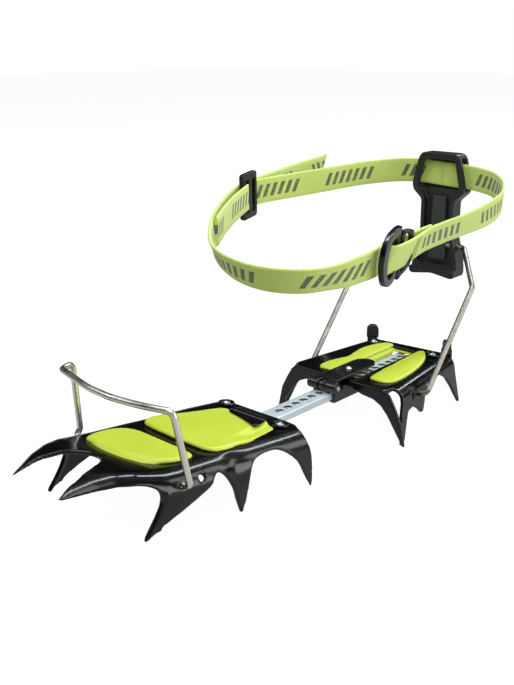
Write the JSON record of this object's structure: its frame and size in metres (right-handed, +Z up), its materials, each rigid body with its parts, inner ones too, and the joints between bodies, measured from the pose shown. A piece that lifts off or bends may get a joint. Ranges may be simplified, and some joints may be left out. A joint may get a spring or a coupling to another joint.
{
  "type": "crampon",
  "caption": "Adjustable ice crampon with toe bail, anti-balling plates, length lock, heel lever and ankle strap",
  "frame": {"origin": "middle of the whole assembly's footprint, at the level of the point tips", "axes": "+X from the toe points to the heel, +Y across to the far side, +Z up"},
  "size_m": [0.3663, 0.1677, 0.175],
  "materials": {
    "frame_black": "gloss black powder coat on bent sheet steel",
    "pad_lime": "flexible lime green moulded plastic, satin to glossy",
    "bar_zinc": "bright zinc plated steel channel",
    "washer_black": "black coated washer",
    "rivet_steel": "plain steel rivet and pin heads",
    "wire_stainless": "polished stainless spring wire",
    "cap_black": "satin black moulded cap",
    "lever_black": "satin black glass filled nylon",
    "panel_grey": "dark grey inset panel, plain",
    "webbing_lime": "woven lime green polyester webbing with a plain dashed motif",
    "buckle_black": "satin black coated buckle"
  },
  "bodies": {
    "front": {"front_frame": "frame_black", "front_antiball_plate": "pad_lime", "bar_keeper": "frame_black", "front_rivets": "rivet_steel", "front_washers": "washer_black", "link_bar": "bar_zinc"},
    "toe_bail": {"toe_bail": "wire_stainless"},
    "heel": {"heel_frame": "frame_black", "heel_antiball_plate": "pad_lime", "heel_rivets": "rivet_steel", "heel_washers": "washer_black", "heel_stop_caps": "cap_black", "lock_bracket": "frame_black", "lock_pin": "rivet_steel"},
    "lock_lever": {"lock_lever": "frame_black", "lock_peg": "rivet_steel"},
    "heel_bail": {"heel_wire": "wire_stainless"},
    "heel_lever": {"heel_lever": "lever_black", "lever_panel": "panel_grey"},
    "ankle_strap": {"ankle_strap_rear": "webbing_lime", "ankle_strap_front": "webbing_lime", "near_buckle_ring": "buckle_black", "near_buckle_hook": "buckle_black", "far_buckle": "buckle_black"}
  },
  "joints": [
    {"name": "toe_bail_hinge", "type": "hinge", "parent": "front", "child": "toe_bail", "pos_m": [-0.12372, 0, 0.04058], "axis": [0, 1, 0], "range_deg": [-45, 80]},
    {"name": "heel_slide", "type": "slide", "parent": "front", "child": "heel", "axis": [1, 0, 0], "range_m": [-0.032, 0.064]},
    {"name": "lock_lever_hinge", "type": "hinge", "parent": "heel", "child": "lock_lever", "pos_m": [0.0421, 0, 0.0353], "axis": [0, -1, 0], "range_deg": [0, 90]},
    {"name": "heel_bail_hinge", "type": "hinge", "parent": "heel", "child": "heel_bail", "pos_m": [0.0906, 0, 0.0264], "axis": [0, 1, 0], "range_deg": [-15, 30]},
    {"name": "heel_lever_hinge", "type": "hinge", "parent": "heel_bail", "child": "heel_lever", "pos_m": [0.1771, 0, 0.108], "axis": [0, 1, 0], "range_deg": [-10, 75]},
    {"name": "strap_swing", "type": "hinge", "parent": "heel_lever", "child": "ankle_strap", "pos_m": [0.1777, 0, 0.16], "axis": [0, 1, 0], "range_deg": [-75, 10], "deforming": ["ankle_strap_rear"]}
  ],
  "couplings": [
    {"joint": "strap_swing", "follows": "heel_lever_hinge", "ratio": -1}
  ]
}
